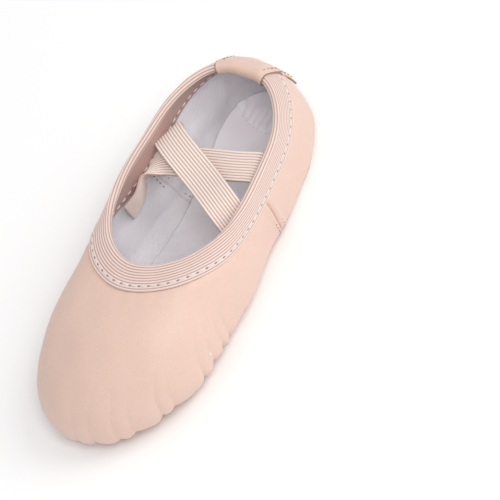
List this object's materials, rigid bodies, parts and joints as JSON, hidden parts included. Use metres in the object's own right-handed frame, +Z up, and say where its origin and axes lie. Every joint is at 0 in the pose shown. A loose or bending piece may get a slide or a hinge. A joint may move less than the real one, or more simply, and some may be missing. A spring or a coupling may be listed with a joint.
{
  "type": "ballet slipper",
  "caption": "Soft split-sole ballet slipper for a child, with crossed elastic straps, a ribbed elastic topline and suede sole patches; it folds at the arch.",
  "frame": {"origin": "on the floor, under the middle of the slipper's length and width", "axes": "+X to the toe, +Y to the wearer's left, +Z up"},
  "size_m": [0.1923, 0.0787, 0.0494],
  "materials": {
    "pink_leather": "soft smooth peach pink leather with a low sheen",
    "brown_suede": "brushed brown pink suede",
    "ribbed_elastic": "ribbed elastic webbing, cream ribs on pink",
    "lining_cotton": "twill cotton lining, pale grey lavender",
    "insole_cotton": "fine plain cotton",
    "insole_board": "bonded leather board",
    "white_thread": "twisted sewing thread",
    "brown_thread": "twisted sewing thread",
    "pink_thread": "twisted sewing thread"
  },
  "bodies": {
    "forefoot": {"vamp": "pink_leather", "vamp_lining": "lining_cotton", "forefoot_board": "insole_board", "front_sole_patch": "brown_suede", "front_sole_stitching": "brown_thread", "front_seam_stitching": "pink_thread", "topline_elastic": "ribbed_elastic", "topline_stitching": "white_thread", "over_strap": "ribbed_elastic", "under_strap": "ribbed_elastic", "strap_tacks": "white_thread", "insole_sock": "insole_cotton", "sock_stitching": "white_thread"},
    "heel": {"quarter_left": "pink_leather", "quarter_right": "pink_leather", "quarter_lining": "lining_cotton", "heel_board": "insole_board", "heel_tab": "pink_leather", "heel_tab_stitching": "pink_thread", "heel_sole_patch": "brown_suede", "heel_sole_stitching": "brown_thread", "rear_seam_stitching": "pink_thread"}
  },
  "joints": [
    {"name": "arch_flex", "type": "hinge", "parent": "forefoot", "child": "heel", "pos_m": [-0.027, 0, 0], "axis": [0, -1, 0], "range_deg": [0, 35], "stiffness_Nm_per_rad": 0.05, "deforming": ["topline_elastic", "topline_stitching", "over_strap", "under_strap", "strap_tacks", "insole_sock", "sock_stitching"]}
  ]
}
